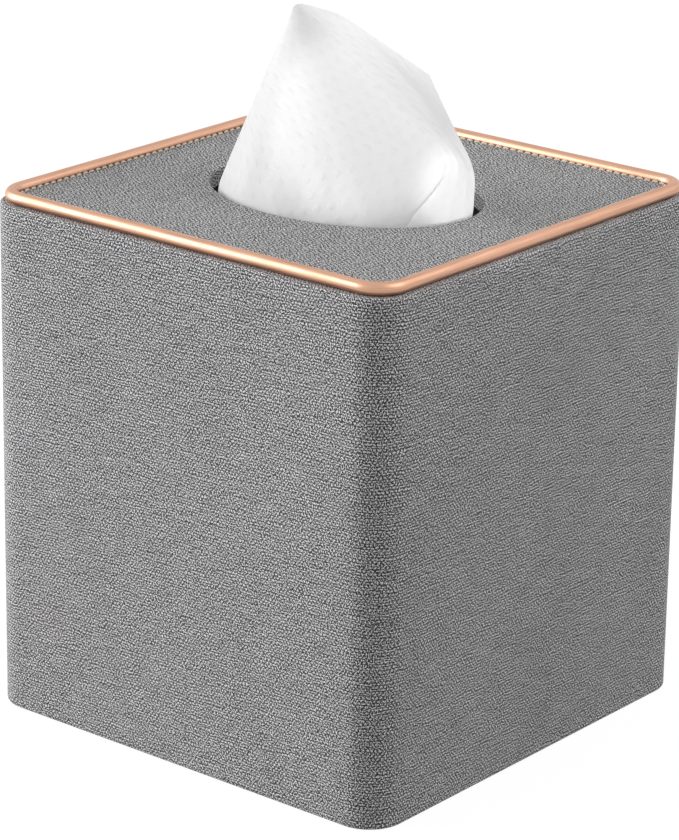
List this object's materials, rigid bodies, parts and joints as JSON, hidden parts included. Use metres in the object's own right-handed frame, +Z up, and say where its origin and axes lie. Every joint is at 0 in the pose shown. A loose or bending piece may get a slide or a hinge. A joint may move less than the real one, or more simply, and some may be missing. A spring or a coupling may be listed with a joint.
{
  "type": "tissue box cover",
  "caption": "Square tissue box cover in grey linen-look leatherette over boards, with rose-gold piping, an oval mouth, a drawn tissue and a hinged magnetic bottom flap.",
  "frame": {"origin": "middle of the foot, on the floor", "axes": "+Z up, the front wall faces -Y, the right wall faces +X"},
  "size_m": [0.13, 0.13, 0.1881],
  "materials": {
    "leatherette": "matt heathered linen grain",
    "rose_gold_strip": "metallised rose gold, satin",
    "fibreboard": "raw fibreboard",
    "lining_cloth": "short flannel nap",
    "magnet": "nickel plated",
    "ribbon": "grosgrain ribbon",
    "tissue_paper": "soft two-ply, lightly embossed"
  },
  "bodies": {
    "cover": {"front_board": "fibreboard", "right_board": "fibreboard", "back_board": "fibreboard", "left_board": "fibreboard", "front_right_post": "fibreboard", "back_right_post": "fibreboard", "back_left_post": "fibreboard", "front_left_post": "fibreboard", "top_board": "fibreboard", "wall_skin": "leatherette", "top_skin": "leatherette", "piping": "rose_gold_strip", "wall_lining": "lining_cloth", "top_lining": "lining_cloth", "front_rail": "fibreboard", "left_rail": "fibreboard", "right_rail": "fibreboard", "rail_magnets": "magnet", "hinge_strip": "leatherette", "tissue_stack": "tissue_paper"},
    "flap": {"flap_board": "fibreboard", "flap_skin": "leatherette", "flap_lining": "lining_cloth", "flap_magnets": "magnet", "pull_tab": "ribbon"},
    "tissue": {"tissue_sheet": "tissue_paper"}
  },
  "joints": [
    {"name": "flap_hinge", "type": "hinge", "parent": "cover", "child": "flap", "pos_m": [0, 0.05965, 0.0008], "axis": [1, 0, 0], "range_deg": [0, 105]},
    {"name": "tissue_pull", "type": "slide", "parent": "cover", "child": "tissue", "axis": [0, 0, 1], "range_m": [0, 0.08]}
  ]
}
